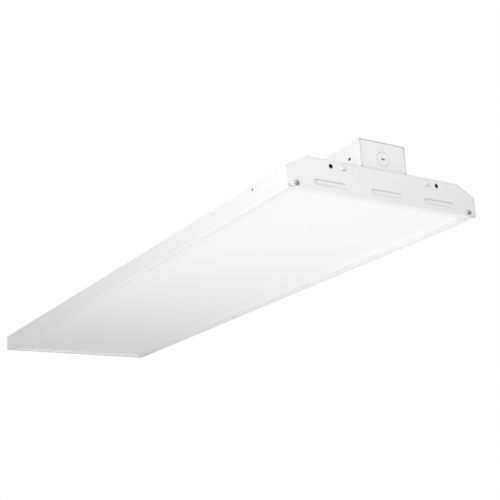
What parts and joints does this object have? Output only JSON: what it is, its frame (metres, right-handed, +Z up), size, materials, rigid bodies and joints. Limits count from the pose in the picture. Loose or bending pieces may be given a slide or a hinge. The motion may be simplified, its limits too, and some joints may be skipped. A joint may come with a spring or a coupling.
{
  "type": "high bay light",
  "caption": "Long ceiling light: shallow white folded-steel housing with sloped shoulders, a flat frosted lens underneath and a driver box on top at one end.",
  "frame": {"origin": "middle of the light's length and width, at the underside of the lips that hold the lens", "axes": "+Z up, away from the lit side; +X along the light towards the end that carries the driver box; +Y across the light"},
  "size_m": [1.1728, 0.338, 0.0954],
  "materials": {
    "white_paint": "satin",
    "frosted_lens": "frosted",
    "driver_case": "satin",
    "board_white": "white solder mask",
    "chip_phosphor": "matt",
    "connector_plastic": "gloss",
    "zinc": "zinc plated",
    "grommet_rubber": "matt",
    "block_plastic": "matt",
    "green_screw": "satin",
    "lead_sleeving": "satin"
  },
  "bodies": {
    "root": {"housing": "white_paint", "end_plate_near": "white_paint", "end_plate_far": "white_paint", "lens": "frosted_lens", "box_cover": "white_paint", "box_end_near": "white_paint", "box_end_far": "white_paint", "led_driver": "driver_case", "led_board_1": "board_white", "led_board_2": "board_white", "led_board_3": "board_white", "led_board_4": "board_white", "led_chips_1": "chip_phosphor", "led_chips_2": "chip_phosphor", "led_chips_3": "chip_phosphor", "led_chips_4": "chip_phosphor", "board_connectors": "connector_plastic", "plate_screws_near": "zinc", "plate_screws_far": "zinc", "top_screws_near": "zinc", "top_screws_far": "zinc", "box_screws": "zinc", "cover_screws": "zinc", "driver_screws": "zinc", "board_screws": "zinc", "terminal_screws": "zinc", "grommet": "grommet_rubber", "terminal_block": "block_plastic", "ground_screw": "green_screw", "input_leads": "lead_sleeving", "output_leads": "lead_sleeving", "link_leads": "lead_sleeving"}
  },
  "joints": []
}
